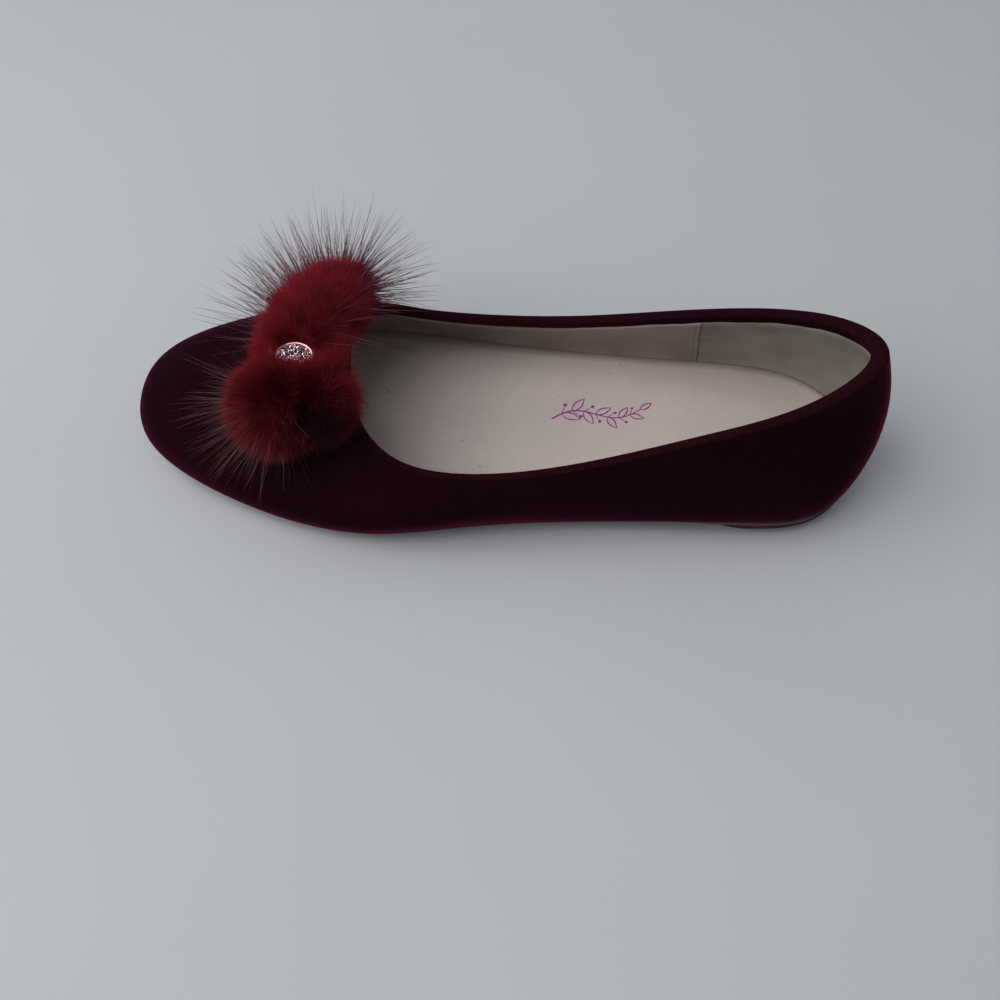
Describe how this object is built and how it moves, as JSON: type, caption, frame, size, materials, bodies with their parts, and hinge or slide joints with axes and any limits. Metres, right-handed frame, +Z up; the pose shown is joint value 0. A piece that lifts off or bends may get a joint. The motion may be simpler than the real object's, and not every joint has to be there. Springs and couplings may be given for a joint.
{
  "type": "velvet ballet flat",
  "caption": "Left velvet ballet flat with a round toe, low topline, thin sole and low heel block, and a fur bow on the vamp pinched by a crystal clasp.",
  "frame": {"origin": "on the floor, under the middle of the shoe's plan box", "axes": "+X from toe to heel, +Y to the medial side, +Z up"},
  "size_m": [0.22, 0.079, 0.0527],
  "materials": {
    "velvet": "burgundy velvet pile with a sheen at its edges",
    "sock": "smooth beige lining leather, satin",
    "sole": "matte brown sole",
    "fur": "dense dyed fur with longer guard hairs",
    "clasp": "polished metal set with small crystals"
  },
  "bodies": {
    "root": {"upper": "velvet", "insole": "sock", "outsole": "sole", "heel": "sole", "bow_loop_medial": "fur", "bow_loop_lateral": "fur", "bow_tail_medial": "fur", "bow_tail_lateral": "fur", "bow_clasp": "clasp"}
  },
  "joints": []
}
